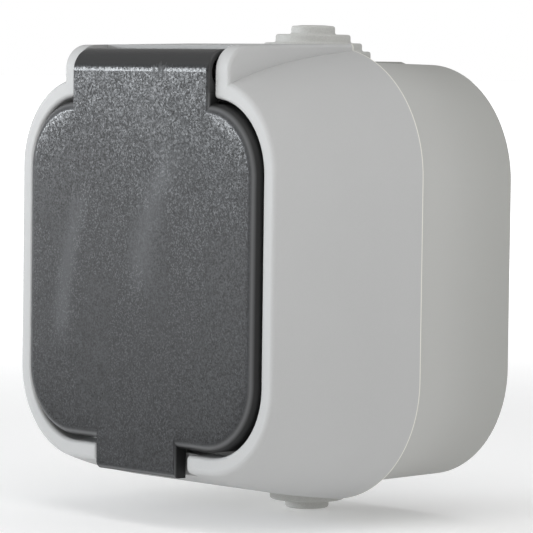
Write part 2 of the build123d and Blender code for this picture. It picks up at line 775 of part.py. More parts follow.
with BuildPart() as hinge_tab:
    with BuildSketch(at_depth(lid_back)):
        with Locations((0, hinge_z)):
            Rectangle(
                hinge_tab_width,
                hinge_z - lid_top + 2 * lid_edge_round,
                align=(Align.CENTER, Align.MAX),
            )
    extrude(amount=lid_thickness)
    tab_front = hinge_tab.faces().sort_by(Axis.Y)[0]
    fillet(tab_front.edges().filter_by(Axis.Z), hinge_tab_round)

with BuildPart() as thumb_tab:
    thumb_foot = -rim_half - thumb_tab_drop
    with BuildSketch(at_depth(lid_face - thumb_tab_thickness)):
        with Locations((0, thumb_foot)):
            Rectangle(
                thumb_tab_width,
                lid_bottom - thumb_foot + lid_edge_round + thumb_tab_lap,
                align=(Align.CENTER, Align.MIN),
            )
    extrude(amount=thumb_tab_thickness)
    thumb_front = thumb_tab.faces().sort_by(Axis.Y)[0]
    fillet(thumb_front.edges().sort_by(Axis.Z)[0], thumb_tab_round)

with BuildPart() as lid:
    with BuildSketch(at_depth(lid_back)):
        with Locations((0, (lid_top + lid_bottom) / 2)):
            RectangleRounded(2 * lid_half, lid_top - lid_bottom, lid_corner)
    extrude(amount=lid_thickness)
    fillet(lid.faces().sort_by(Axis.Y)[0].edges(), lid_edge_round)
    add(knuckle.part)
    add(hinge_tab.part)
    add(thumb_tab.part)
    # The skirt that turns back from the plate's edge
    with BuildSketch(at_depth(lid_back)):
        with Locations((0, (lid_top + lid_bottom) / 2)):
            RectangleRounded(2 * lid_half, lid_top - lid_bottom, lid_corner)
            RectangleRounded(
                2 * (lid_half - skirt_wall),
                lid_top - lid_bottom - 2 * skirt_wall,
                lid_corner - skirt_wall,
                mode=Mode.SUBTRACT,
            )
    extrude(amount=-skirt_depth)
    # The pin's bore, the spring's pocket and the hole for its moving leg
    spring_pocket_start = spring_start - spring_wire_radius - spring_pocket_gap
    leg_hole_start = spring_start - spring_leg - spring_leg_fit
    for start, radius, axis in (
        (-tab_half, pin_radius + pin_running_fit, hinge_axis),
        (spring_pocket_start, spring_pocket_radius, hinge_axis),
        (leg_hole_start, spring_wire_radius + spring_leg_fit, lid_leg_axis),
    ):
        with BuildSketch(Plane.YZ.offset(start)):
            with Locations(axis):
                Circle(radius)
        extrude(amount=tab_half - start, mode=Mode.SUBTRACT)

with BuildPart() as lid_gasket:
    with BuildSketch(at_depth(gasket_back)):
        Circle(collar_radius + lid_gasket_overlap)
        Circle(dish_opening_radius + dish_fit, mode=Mode.SUBTRACT)
    extrude(amount=lid_back - gasket_back)

# Hinge pin, pressed in from the left, and the torsion spring around it
with BuildPart() as hinge_pin:
    pin_left = -block_half + pin_recess
    with BuildSketch(Plane.YZ.offset(pin_left)):
        with Locations(hinge_axis):
            Circle(pin_radius)
    extrude(amount=pin_hole_end - pin_left)
    chamfer(hinge_pin.edges(), pin_recess)

with BuildPart() as torsion_spring:
    with BuildLine() as spring_line:
        coil = Helix(
            spring_pitch,
            spring_length,
            spring_radius,
            center=(spring_start, *hinge_axis),
            direction=(1, 0, 0),
        )
        # Each end of the coil bends round to run along the pin, into the lid and into the housing
        spring_bend_reach = spring_bend * cos(spring_slope)
        lid_bend = (spring_start - spring_bend_reach, *lid_leg_axis)
        TangentArc(coil @ 0, lid_bend, tangent=-(coil % 0))
        Line(lid_bend, (spring_start - spring_leg, *lid_leg_axis))
        housing_bend = (spring_start + spring_length + spring_bend_reach, *housing_leg_axis)
        TangentArc(coil @ 1, housing_bend, tangent=coil % 1)
        Line(housing_bend, (slot_half + spring_leg - spring_leg_fit, *housing_leg_axis))
    with BuildSketch(Plane(origin=coil @ 0, z_dir=coil % 0)):
        RegularPolygon(spring_wire_radius, spring_wire_sides)
    sweep(path=spring_line.line)

nodes = {
    "rear_box": rear_box,
    "top_grommet": top_grommet,
    "bottom_grommet": bottom_grommet,
    "joint_gasket": joint_gasket,
    "front_housing": front_housing,
    "housing_screws": housing_screws,
    "socket_dish": socket_dish,
    "dish_seal": dish_seal,
    "centre_screw": centre_screw,
    "contact_carrier": contact_carrier,
    "support_ring": support_ring,
    "support_screws": support_screws,
    "carrier_rivets": carrier_rivets,
    "live_contact_left": live_contact_left,
    "live_contact_right": live_contact_right,
    "terminal_block_left": terminal_block_left,
    "terminal_block_right": terminal_block_right,
    "earth_bar": earth_bar,
    "earth_terminal_block": earth_terminal_block,
    "terminal_screws": terminal_screws,
    "hinge_pin": hinge_pin,
    "torsion_spring": torsion_spring,
    "lid": lid,
    "lid_gasket": lid_gasket,
}
for node_name, node in nodes.items():
    node.part.label = node_name
    export_step(node.part, f"parts/{node_name}.step")
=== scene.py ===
"""Finishes, moulded details and studio for a surface-mounted outdoor socket with a flap lid."""

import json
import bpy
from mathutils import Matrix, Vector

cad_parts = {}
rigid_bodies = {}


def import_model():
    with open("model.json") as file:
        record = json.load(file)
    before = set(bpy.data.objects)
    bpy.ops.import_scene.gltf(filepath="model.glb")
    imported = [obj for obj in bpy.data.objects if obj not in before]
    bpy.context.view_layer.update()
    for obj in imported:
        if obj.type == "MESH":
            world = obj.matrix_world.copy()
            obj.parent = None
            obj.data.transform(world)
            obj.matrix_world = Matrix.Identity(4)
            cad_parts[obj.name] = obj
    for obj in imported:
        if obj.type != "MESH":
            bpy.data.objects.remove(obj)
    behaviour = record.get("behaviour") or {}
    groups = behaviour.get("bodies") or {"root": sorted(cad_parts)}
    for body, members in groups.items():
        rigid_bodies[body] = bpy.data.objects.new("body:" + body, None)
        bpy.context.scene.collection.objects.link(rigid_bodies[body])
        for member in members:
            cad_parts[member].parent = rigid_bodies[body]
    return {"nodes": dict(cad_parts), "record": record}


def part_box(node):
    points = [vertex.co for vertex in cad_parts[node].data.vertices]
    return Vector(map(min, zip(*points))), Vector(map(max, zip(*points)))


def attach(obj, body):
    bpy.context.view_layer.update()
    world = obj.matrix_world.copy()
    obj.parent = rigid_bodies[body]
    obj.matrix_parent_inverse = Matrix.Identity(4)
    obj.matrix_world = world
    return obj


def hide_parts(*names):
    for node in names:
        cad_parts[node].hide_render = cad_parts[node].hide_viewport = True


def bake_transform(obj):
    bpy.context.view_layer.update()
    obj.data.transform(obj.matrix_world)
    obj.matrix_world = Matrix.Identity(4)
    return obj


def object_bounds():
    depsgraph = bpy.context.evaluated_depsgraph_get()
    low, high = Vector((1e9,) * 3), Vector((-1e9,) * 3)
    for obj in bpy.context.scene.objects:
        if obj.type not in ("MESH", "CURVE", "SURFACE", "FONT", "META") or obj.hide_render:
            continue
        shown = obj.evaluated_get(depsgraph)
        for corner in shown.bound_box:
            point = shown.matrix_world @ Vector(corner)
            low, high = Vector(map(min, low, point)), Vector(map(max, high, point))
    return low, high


bl_info = {
    "name": "Outdoor Socket Dresser",
    "version": (1, 0, 0),
    "blender": (4, 5, 0),
    "location": "View3D > Sidebar > Outdoor Socket",
    "description": "Gives the packed socket its plastics, rubber and metal, and sets up its studio",
    "category": "Object",
}

from math import cos, radians, sin
from typing import NamedTuple

import bpy
from bpy.props import FloatProperty, FloatVectorProperty, PointerProperty
from mathutils import Matrix, Vector

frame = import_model()
cad_low, cad_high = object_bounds()
lid_low, lid_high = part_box("lid")
housing_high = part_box("front_housing")[1]
grommet_low, grommet_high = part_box("top_grommet")

MM = 0.001
WHITE = (1, 1, 1)

# Modelling
ROUND_SIDES = 96
BEVEL_SEGMENTS = 3
MOULDED_ANGLE = radians(40)
WIRE_ANGLE = radians(50)
WELD = 0.001 * MM


def colour_property(name, description, default):
    """A colour setting, in linear light."""
    return FloatVectorProperty(
        name=name, description=description, default=default, subtype="COLOR", min=0, max=1
    )


def length_property(name, description, millimetres):
    """A length setting, given in millimetres."""
    return FloatProperty(
        name=name, description=description, default=millimetres * MM, unit="LENGTH"
    )


def angle_property(name, description, degrees):
    """An angle setting, given in degrees."""
    return FloatProperty(
        name=name, description=description, default=radians(degrees), subtype="ANGLE"
    )


def factor_property(name, description, default):
    """A setting between nought and one."""
    return FloatProperty(
        name=name, description=description, default=default, subtype="FACTOR", min=0, max=1
    )


def power_property(name, description, watts):
    """A light's power setting."""
    return FloatProperty(name=name, description=description, default=watts, unit="POWER")


class PlasticSettings(bpy.types.PropertyGroup):
    """Colours, dullness and grain of the pale plastics and the rubbers"""

    housing_colour: colour_property(
        "Housing", "Pale grey of the front housing", (0.468, 0.470, 0.467)
    )
    housing_dullness: factor_property("Housing dullness", "Roughness of the front housing", 0.58)
    box_colour: colour_property(
        "Rear box", "Slightly warmer grey of the rear box", (0.476, 0.477, 0.463)
    )
    box_dullness: factor_property("Box dullness", "Roughness of the rear box", 0.5)
    # Painted shade: the rear box is darkened towards the wall
    painted_rear_shade: colour_property(
        "Wall edge", "The rear box's duller edge at the wall", (0.392, 0.393, 0.376)
    )
    # Painted highlight: a thin bright line along the housing's parting edge stands in for light
    # caught on that edge
    painted_edge_light: colour_property(
        "Parting edge", "Thin bright edge where the housing ends", (0.80, 0.79, 0.72)
    )
    edge_width: length_property("Edge width", "Width of the bright parting edge", 0.22)
    dish_colour: colour_property(
        "Dish", "Pale satin grey of the plug recess", (0.52, 0.525, 0.52)
    )
    dish_dullness: factor_property("Dish dullness", "Roughness of the plug recess", 0.36)
    carrier_colour: colour_property(
        "Carrier", "Off-white of the contact carrier", (0.70, 0.70, 0.66)
    )
    carrier_dullness: factor_property("Carrier dullness", "Roughness of the carrier", 0.5)
    grain_size: length_property("Grain size", "Width of the plastic's fine matte grain", 0.16)
    grommet_colour: colour_property("Grommets", "Pale grey rubber", (0.50, 0.501, 0.482))
    grommet_dullness: factor_property("Grommet dullness", "Roughness of the grommets", 0.6)
    grommet_pores: length_property("Grommet pores", "Width of the grommets' pores", 0.25)
    seal_colour: colour_property("Seals", "Black foam rubber", (0.018, 0.018, 0.018))
    seal_dullness: factor_property("Seal dullness", "Roughness of the seals", 0.75)
    seal_pores: length_property("Seal pores", "Width of the seals' pores", 0.4)


class LidSettings(bpy.types.PropertyGroup):
    """Colours, outline and grain of the dark lid"""

    dark_colour: colour_property(
        "Dark grain", "Pits of the lid's grain", (0.012, 0.0124, 0.013)
    )
    light_colour: colour_property(
        "Light grain", "Peaks of the lid's grain", (0.034, 0.0357, 0.0383)
    )
    # Painted reflection: the smooth edge round the grained face is lighter, standing in for the
    # brighter surroundings it reflects
    painted_edge_light: colour_property(
        "Edge", "Smooth edge around the grained face", (0.115, 0.1165, 0.119)
    )
    flank_colour: colour_property(
        "Flanks", "Smooth sides below the edge", (0.014, 0.0141, 0.0143)
    )
    # Painted light: the back of the hinge knuckle is lighter than the flanks, standing in for light
    # falling on it
    painted_knuckle_light: colour_property(
        "Knuckle", "Smooth back of the hinge knuckle", (0.038, 0.0381, 0.0384)
    )
    smear_colour: colour_property(
        "Smears", "Dry film left by wiping hands", (0.074, 0.077, 0.081)
    )
    gloss: factor_property("Gloss", "Strength of the lid's reflections", 0.26)
    grain_size: length_property("Grain size", "Width of the spark-eroded grain", 0.31)
    grain_depth: length_property("Grain depth", "Depth of the spark-eroded grain", 0.055)
    grain_tilt: factor_property("Grain tilt", "How far the grain's facets lean", 0.085)
    grain_reach: length_property("Grain reach", "How far back from the face the grain runs", 0.30)
    edge_reach: length_property(
        "Edge reach", "How far back from the face the smooth edge runs", 0.8
    )
    edge_round: length_property("Edge rounding", "Rounding of the plate's edge", 1.8)
    plate_top: length_property("Plate top", "Height of the plate's top edge", 28.6)
    plate_bottom: length_property("Plate bottom", "Height of the plate's bottom edge", -28.45)
    plate_corner: length_property("Plate corner", "Radius of the plate's corners", 11.9)
    hinge_tab_half: length_property("Hinge tab", "Half the width of the hinge tab", 17.3)
    thumb_tab_half: length_property("Thumb tab", "Half the width of the thumb tab", 9.9)
    crown_start: length_property(
        "Crown start", "How far from the plate's outline it starts to fall away", 4.3
    )
    crown_fall: length_property(
        "Crown fall", "How far the plate has fallen where its rounded edge starts", 0.065
    )
    crown_blend: length_property("Crown blend", "How softly the fall ends beside the tabs", 2.0)


class GrommetSettings(bpy.types.PropertyGroup):
    """Profile of the stepped cable grommets"""

    step_radii: FloatVectorProperty(
        name="Step radii",
        description="Radius of each step, from the box outwards",
        default=[radius * MM for radius in (10.0, 8.5, 6.5, 3.8)],
        size=4,
        unit="LENGTH",
    )
    step_tops: FloatVectorProperty(
        name="Step tops",
        description="Height of each step's top above the grommet's inner end",
        default=[height * MM for height in (5.85, 7.25, 8.7, 10.15)],
        size=4,
        unit="LENGTH",
    )
    flange_radius: length_property(
        "Flange radius", "Flange that holds the grommet inside the box", 9.6
    )
    flange_thickness: length_property("Flange thickness", "Thickness of the inner flange", 1.4)
    neck_radius: length_property("Neck radius", "Groove around the box's wall", 8.2)
    neck_top: length_property("Neck top", "Where the groove ends at the box's outer face", 4.15)
    wall: length_property("Wall", "Thickness of the rubber", 1.1)
    crown_radius: length_property("Crown radius", "Flat top of the last step's low crown", 1.9)
    edge_round: length_property("Edge rounding", "Rounding of the moulded edges", 0.4)


class SpringSettings(bpy.types.PropertyGroup):
    """Lengths of the lid's torsion spring's legs, coil and bends"""

    leg: length_property("Leg", "Length of the leg that turns with the lid", 1.6)
    coil: length_property("Coil", "Length of the coil between the two legs", 5.2)
    bend: length_property("Bend", "Part of each leg that twists with the coil", 0.6)


class MetalSettings(bpy.types.PropertyGroup):
    """Colours and dullness of the metal pieces"""

    steel_colour: colour_property(
        "Plated steel", "Zinc-plated screws, ring and pin", (0.60, 0.60, 0.58)
    )
    steel_dullness: factor_property("Steel dullness", "Roughness of the plated steel", 0.32)
    spring_colour: colour_property("Spring steel", "Drawn spring wire", (0.40, 0.40, 0.41))
    spring_dullness: factor_property("Spring dullness", "Roughness of the spring wire", 0.3)
    brass_colour: colour_property("Brass", "Contacts and terminals", (0.70, 0.52, 0.24))
    brass_dullness: factor_property("Brass dullness", "Roughness of the brass", 0.3)
    earth_colour: colour_property("Earth metal", "Tinned earth bar", (0.66, 0.62, 0.52))
    earth_dullness: factor_property("Earth dullness", "Roughness of the earth bar", 0.34)


class StudioSettings(bpy.types.PropertyGroup):
    """Camera, lights and floor"""

    azimuth: angle_property("Azimuth", "Camera angle round the socket", 47.476)
    elevation: angle_property("Elevation", "Camera angle above the horizon", 3.137)
    roll: angle_property("Roll", "Camera tilt", 0.743)
    distance: length_property("Distance", "From the camera to the point it looks at", 598.635)
    aim_depth: length_property("Aim depth", "Distance of the aim point in front of the wall", 27.0)
    aim_right: length_property("Aim right", "Aim point's shift to the camera's right", 2.748)
    aim_up: length_property("Aim up", "Aim point's shift upwards", 0.533)
    lens: FloatProperty(name="Lens", description="Focal length in millimetres", default=236.04)
    clip_start: length_property("Clip start", "Nearest thing that the camera sees", 10)
    floor_colour: colour_property("Floor", "Pale floor", (0.9, 0.9, 0.9))
    floor_dullness: factor_property("Floor dullness", "Roughness of the floor", 0.9)
    floor_radius: length_property("Floor radius", "How far the floor runs", 60000)
    # The floor's own glow is painted light: dim under the socket, brighter further out, and
    # brightest on a wedge of floor that stands in for a reflector card in front of the lid
    glow_start: length_property("Glow start", "Where the floor starts to brighten", 130)
    glow_end: length_property("Glow end", "Where the floor is brightest", 700)
    near_glow: factor_property("Near glow", "Floor's brightness under the socket", 0.22)
    card_glow: factor_property("Card glow", "Reflector card in front of the lid", 0.5)
    card_azimuth: angle_property("Card azimuth", "Where the card's middle lies", -14)
    card_inner: angle_property("Card inner", "Half-angle of the card's full brightness", 18)
    card_outer: angle_property("Card outer", "Half-angle where the card has faded out", 32)
    card_start: length_property("Card start", "Where the card starts to brighten", 120)
    card_end: length_property("Card end", "Where the card is brightest", 300)
    key_power: power_property("Key", "Strip light at the left front", 4.8)
    key_tint: colour_property("Key tint", "The strip light's cool white", (0.92, 0.96, 1.0))
    side_power: power_property("Side", "Softbox at the right", 0.25)
    top_power: power_property("Top", "Broad softbox overhead", 5.5)
    fill_power: power_property("Fill", "Weak softbox in front", 1.1)
    far_power: power_property("Far right", "Low softbox far to the right", 0.9)
    sky_strength: factor_property("Sky", "Light from all round above the horizon", 0.31)


class Finish:
    """One procedural material, built on the object's own coordinates in metres."""

    def __init__(self, name, colour, roughness, metallic=0.0):
        self.material = bpy.data.materials.new(name)
        self.material.use_nodes = True
        self.nodes = self.material.node_tree.nodes
        self.links = self.material.node_tree.links
        self.shader = self.nodes["Principled BSDF"]
        self.shader.inputs["Base Color"].default_value = (*colour, 1)
        self.shader.inputs["Roughness"].default_value = roughness
        self.shader.inputs["Metallic"].default_value = metallic
        self.place = self.nodes.new("ShaderNodeTexCoord").outputs["Object"]
        axes = self.nodes.new("ShaderNodeSeparateXYZ")
        self.links.new(self.place, axes.inputs["Vector"])
        self.x, self.y, self.z = axes.outputs

    def feed(self, socket, value):
        """Links an output to a socket, or sets the socket to a plain value."""
        if isinstance(value, bpy.types.NodeSocket):
            self.links.new(value, socket)
        elif isinstance(socket, bpy.types.NodeSocketColor):
            socket.default_value = (*value, 1)
        else:
            socket.default_value = value

    def math(self, operation, *values):
        """One sum of up to three values."""
        node = self.nodes.new("ShaderNodeMath")
        node.operation = operation
        for socket, value in zip(node.inputs, values):
            self.feed(socket, value)
        return node.outputs["Value"]

    def vector(self, operation, first, second=(0, 0, 0)):
        """One sum of two vectors, a vector's scaling, or its length."""
        node = self.nodes.new("ShaderNodeVectorMath")
        node.operation = operation
        self.feed(node.inputs[0], first)
        self.feed(node.inputs["Scale" if operation == "SCALE" else 1], second)
        return node.outputs["Value" if operation == "LENGTH" else "Vector"]

    def noise(self, size, detail=2.0, roughness=0.5, stretch=(1, 1, 1)):
        """Noise whose features are about as wide as size, stretched along the axes."""
        mapping = self.nodes.new("ShaderNodeMapping")
        mapping.inputs["Scale"].default_value = [1 / (size * s) for s in stretch]
        self.links.new(self.place, mapping.inputs["Vector"])
        node = self.nodes.new("ShaderNodeTexNoise")
        node.inputs["Scale"].default_value = 1.0
        node.inputs["Detail"].default_value = detail
        node.inputs["Roughness"].default_value = roughness
        self.links.new(mapping.outputs["Vector"], node.inputs["Vector"])
        return node.outputs["Fac"]

    def cells(self, size):
        """A random colour for each cell of about a given size."""
        node = self.nodes.new("ShaderNodeTexVoronoi")
        node.inputs["Scale"].default_value = 1 / size
        self.links.new(self.place, node.inputs["Vector"])
        return node.outputs["Color"]

    def ramp(self, value, start, end, low=0.0, high=1.0):
        """A smooth step from low at start to high at end."""
        node = self.nodes.new("ShaderNodeMapRange")
        node.interpolation_type = "SMOOTHSTEP"
        for socket, setting in zip(node.inputs, (value, start, end, low, high)):
            self.feed(socket, setting)
        return node.outputs["Result"]

    def mix(self, share, first, second):
        """A blend of two colours."""
        node = self.nodes.new("ShaderNodeMix")
        node.data_type = "RGBA"
        self.feed(node.inputs["Factor"], share)
        self.feed(node.inputs[6], first)
        self.feed(node.inputs[7], second)
        return node.outputs[2]

    def facets(self, size, tilt, normal):
        """A normal that leans a different way in each small cell."""
        aside = self.vector("SUBTRACT", self.cells(size), (0.5, 0.5, 0.5))
        lean = self.vector("SCALE", aside, tilt)
        return self.vector("NORMALIZE", self.vector("ADD", normal, lean))

    def raised(self, height, depth, strength=1.0, normal=None):
        """The normal of a surface raised by a height, times a depth."""
        node = self.nodes.new("ShaderNodeBump")
        node.inputs["Distance"].default_value = depth
        self.feed(node.inputs["Strength"], strength)
        self.feed(node.inputs["Height"], height)
        if normal:
            self.links.new(normal, node.inputs["Normal"])
        return node.outputs["Normal"]

    def bump(self, height, depth, strength, normal=None):
        """Raises the surface by a height between nought and one, times a depth."""
        self.set("Normal", self.raised(height, depth, strength, normal))

    def set(self, name, value):
        """Feeds one of the shader's own sockets."""
        self.feed(self.shader.inputs[name], value)

    def tint(self, share, colour):
        """Lays another colour over the one already made, where the share is high."""
        socket = self.shader.inputs["Base Color"]
        self.set("Base Color", self.mix(share, socket.links[0].from_socket, colour))


def lighter(colour, share):
    """A colour brightened, or darkened by a negative share."""
    return [min(1.0, channel * (1 + share)) for channel in colour]


# Most of a noise's values lie between these two
NOISE_SPREAD = (0.3, 0.7)

PLASTIC_SPECULAR = 0.25
PLASTIC_GRAIN_DEPTH = 0.012 * MM
PLASTIC_GRAIN_STRENGTH = 0.5
PLASTIC_SHEEN_SPREAD = (0.25, 0.75)
PLASTIC_SHEEN_DROP = 0.05
PLASTIC_SHEEN_RISE = 0.07
FLOW_SIZE = 9 * MM
FLOW_STRETCH = (1, 1.6, 2.2)
FLOW_MOTTLE = 0.025
SPECK_SHARE = 0.12
SPECK_LIFT = 0.22


def moulded_plastic(name, colour, grain_size, roughness):
    """Matte moulded plastic: fine grain, and a faint mottle from the melt's flow."""
    finish = Finish(name, colour, roughness)
    finish.set("Specular IOR Level", PLASTIC_SPECULAR)
    grain = finish.noise(grain_size, detail=1.0)
    flow = finish.noise(FLOW_SIZE, detail=3.0, stretch=FLOW_STRETCH)
    speck = finish.math("MULTIPLY", finish.ramp(grain, *NOISE_SPREAD), SPECK_SHARE)
    mottled = finish.mix(flow, lighter(colour, -FLOW_MOTTLE), lighter(colour, FLOW_MOTTLE))
    finish.set("Base Color", finish.mix(speck, mottled, lighter(colour, SPECK_LIFT)))
    sheen = (roughness - PLASTIC_SHEEN_DROP, roughness + PLASTIC_SHEEN_RISE)
    finish.set("Roughness", finish.ramp(grain, *PLASTIC_SHEEN_SPREAD, *sheen))
    finish.bump(grain, PLASTIC_GRAIN_DEPTH, PLASTIC_GRAIN_STRENGTH)
    return finish


class Streak(NamedTuple):
    """A soft mark on the lid, about the curve x = place + slope z + bend z z, in metres."""

    place: float
    slope: float
    bend: float
    width: float
    low: float
    high: float
    fade: float


LEFT_WIPE = Streak(
    place=-18.4 * MM, slope=0.2, bend=6.7, width=3.6 * MM, low=-15 * MM, high=16 * MM, fade=8 * MM
)
MIDDLE_WIPE = Streak(
    place=0.8 * MM, slope=0.05, bend=17.2, width=5.2 * MM, low=-6 * MM, high=24 * MM, fade=9 * MM
)
RUBBED_PATCH = Streak(
    place=5.4 * MM, slope=0, bend=0, width=4.2 * MM, low=32.6 * MM, high=35.6 * MM, fade=0.8 * MM
)
WIPED_FILM = (0.45, 0.8)
HANDLED_SIZE = 11 * MM
HANDLED_STRETCH = (1, 1, 2.4)
HANDLED_SPREAD = (0.35, 0.7)
HANDLED_DULLNESS = (0.16, 0.18)
LID_GRAIN_ROUGHNESS = 0.6
LID_GRAIN_SPREAD = (0.35, 0.65)
LID_GRAIN_DULLNESS = 0.11
LID_GRAIN_STRENGTH = (0.05, 0.15)
LID_BASE_DULLNESS = 0.3
FLAT_DEPTH = (0.02 * MM, 0.002 * MM)
EDGE_CORE = 0.3
KNUCKLE_HEIGHT = (29 * MM, 31 * MM)
ROUNDED_DULLNESS = (0.46, 0.21)
SCRATCH_SIZE = 0.55 * MM
SCRATCH_STRETCH = (1, 1, 7)
SCRATCH_SPREAD = (0.56, 0.62)
SCRATCH_DULLNESS = 0.3


def marked(finish, mark):
    """How strongly a mark shows at each point of the lid; it fades out at its two ends."""
    lean = finish.math("MULTIPLY_ADD", finish.z, mark.bend, mark.slope)
    middle = finish.math("MULTIPLY_ADD", finish.z, lean, mark.place)
    aside = finish.math("ABSOLUTE", finish.math("SUBTRACT", finish.x, middle))
    lower_end = finish.ramp(finish.z, mark.low, mark.low + mark.fade)
    upper_end = finish.ramp(finish.z, mark.high, mark.high - mark.fade)
    ends = finish.math("MULTIPLY", lower_end, upper_end)
    return finish.math("MULTIPLY", finish.ramp(aside, mark.width, 0), ends)


def crowned(finish, settings):
    """The height of the lid's plate, which falls away towards its outline, but not at the tabs."""
    across = finish.math("ABSOLUTE", finish.x)
    middle = (settings.plate_top + settings.plate_bottom) / 2
    along = finish.math("ABSOLUTE", finish.math("SUBTRACT", finish.z, middle))
    corner_x = lid_high.x - settings.plate_corner
    corner_z = settings.plate_top - middle - settings.plate_corner
    past_x = finish.math("SUBTRACT", across, corner_x)
    past_z = finish.math("SUBTRACT", along, corner_z)
    out_x = finish.math("MAXIMUM", past_x, 0.0)
    out_z = finish.math("MAXIMUM", past_z, 0.0)
    squares = finish.math("MULTIPLY_ADD", out_x, out_x, finish.math("MULTIPLY", out_z, out_z))
    inner = finish.math("MINIMUM", finish.math("MAXIMUM", past_x, past_z), 0.0)
    reach = finish.math("ADD", finish.math("SQRT", squares), inner)
    past_start = finish.math("SUBTRACT", reach, settings.plate_corner - settings.crown_start)
    length = settings.crown_start - settings.edge_round
    share = finish.math("MAXIMUM", finish.math("DIVIDE", past_start, length), 0.0)
    hinge, thumb, blend = settings.hinge_tab_half, settings.thumb_tab_half, settings.crown_blend
    beside_hinge = finish.ramp(across, hinge, hinge + blend)
    beside_thumb = finish.ramp(across, thumb, thumb + blend)
    upper = finish.ramp(finish.z, -blend, blend)
    change = finish.math("SUBTRACT", beside_hinge, beside_thumb)
    beside = finish.math("MULTIPLY_ADD", upper, change, beside_thumb)
    fall = finish.math("MULTIPLY", finish.math("MULTIPLY", share, share), beside)
    return finish.math("SUBTRACT", 1.0, fall)


def lid_plastic(settings):
    """Dark plastic: spark-eroded grain on the face, smooth edges lightened by painted reflection, a
    knuckle lightened by painted light, wiped smears and scratches.
    """
    finish = Finish("lid_plastic", settings.flank_colour, LID_BASE_DULLNESS)
    finish.set("Specular IOR Level", settings.gloss)
    depth = finish.math("SUBTRACT", finish.y, lid_low.y)
    on_face = finish.ramp(depth, settings.grain_reach, 0)
    on_flat = finish.ramp(depth, *FLAT_DEPTH)
    at_edge = finish.ramp(depth, settings.edge_reach, EDGE_CORE * settings.edge_reach)
    on_knuckle = finish.ramp(finish.z, *KNUCKLE_HEIGHT)
    grain = finish.noise(settings.grain_size, detail=1.0, roughness=LID_GRAIN_ROUGHNESS)
    handling = finish.noise(HANDLED_SIZE, detail=2.0, stretch=HANDLED_STRETCH)
    handled = finish.ramp(handling, *HANDLED_SPREAD)

    wiped = finish.math("MAXIMUM", marked(finish, LEFT_WIPE), marked(finish, MIDDLE_WIPE))
    film = finish.math("MULTIPLY", wiped, finish.ramp(handled, 0, 1, *WIPED_FILM))
    peaks = finish.ramp(grain, *NOISE_SPREAD)
    grained = finish.mix(peaks, settings.dark_colour, settings.light_colour)
    smeared = finish.mix(film, grained, settings.smear_colour)
    # The flanks lighten towards the face's smooth edge: painted reflection
    side = finish.mix(at_edge, settings.flank_colour, settings.painted_edge_light)
    # The knuckle's back is lightened: painted light
    smooth = finish.mix(on_knuckle, side, settings.painted_knuckle_light)
    finish.set("Base Color", finish.mix(on_face, smooth, smeared))

    worn = finish.ramp(handled, 0, 1, *HANDLED_DULLNESS)
    coarse = finish.ramp(grain, *LID_GRAIN_SPREAD)
    flat = finish.math("MULTIPLY_ADD", coarse, LID_GRAIN_DULLNESS, worn)
    rounded = finish.ramp(on_knuckle, 0, 1, *ROUNDED_DULLNESS)
    change = finish.math("SUBTRACT", flat, rounded)
    dull = finish.math("MULTIPLY_ADD", on_flat, change, rounded)
    lines = finish.noise(SCRATCH_SIZE, detail=1.0, stretch=SCRATCH_STRETCH)
    scratches = finish.ramp(lines, *SCRATCH_SPREAD)
    scuffed = finish.math("MULTIPLY", scratches, marked(finish, RUBBED_PATCH))
    finish.set("Roughness", finish.math("MULTIPLY_ADD", scuffed, SCRATCH_DULLNESS, dull))

    falling = finish.raised(crowned(finish, settings), settings.crown_fall)
    tilt = finish.math("MULTIPLY", on_face, settings.grain_tilt)
    leaning = finish.facets(settings.grain_size, tilt, falling)
    strength = finish.ramp(on_face, 0, 1, *LID_GRAIN_STRENGTH)
    finish.bump(grain, settings.grain_depth, strength, leaning)
    return finish


PORE_MOTTLE = 0.05
PORE_DEPTH = 0.015 * MM
PORE_STRENGTH = 0.4


def soft_rubber(name, colour, pore_size, roughness):
    """Rubber with a dull skin and fine pores."""
    finish = Finish(name, colour, roughness)
    pores = finish.noise(pore_size, detail=2.0)
    share = finish.ramp(pores, *NOISE_SPREAD)
    mottled = finish.mix(share, lighter(colour, -PORE_MOTTLE), lighter(colour, PORE_MOTTLE))
    finish.set("Base Color", mottled)
    finish.bump(pores, PORE_DEPTH, PORE_STRENGTH)
    return finish


LINE_SIZE = 0.12 * MM
LINE_DEPTH = 0.006 * MM
LINE_STRENGTH = 0.5
LINE_SHEEN_DROP = 0.07
LINE_SHEEN_RISE = 0.09
TARNISH_SIZE = 2.4 * MM
TARNISH_DARK = -0.12
TARNISH_LIGHT = 0.06


def worked_metal(name, colour, roughness, drawn):
    """Metal with the fine lines of drawing or rolling along one axis, and a slight tarnish."""
    finish = Finish(name, colour, roughness, metallic=1.0)
    lines = finish.noise(LINE_SIZE, detail=2.0, stretch=drawn)
    tarnish = finish.noise(TARNISH_SIZE, detail=3.0)
    dark, light = lighter(colour, TARNISH_DARK), lighter(colour, TARNISH_LIGHT)
    finish.set("Base Color", finish.mix(tarnish, dark, light))
    sheen = (roughness - LINE_SHEEN_DROP, roughness + LINE_SHEEN_RISE)
    finish.set("Roughness", finish.ramp(lines, *NOISE_SPREAD, *sheen))
    finish.bump(lines, LINE_DEPTH, LINE_STRENGTH)
    return finish


def dress(slot, finish):
    """Puts a finish on every node that takes the record's material slot."""
    subparts = frame["record"]["subparts"]
    takers = [part["node"] for part in subparts if part["material_slot"] == slot]
    if not takers:
        raise ValueError(f"no node takes the material slot {slot}")
    for name in takers:
        materials = frame["nodes"][name].data.materials
        materials.clear()
        materials.append(finish.material)


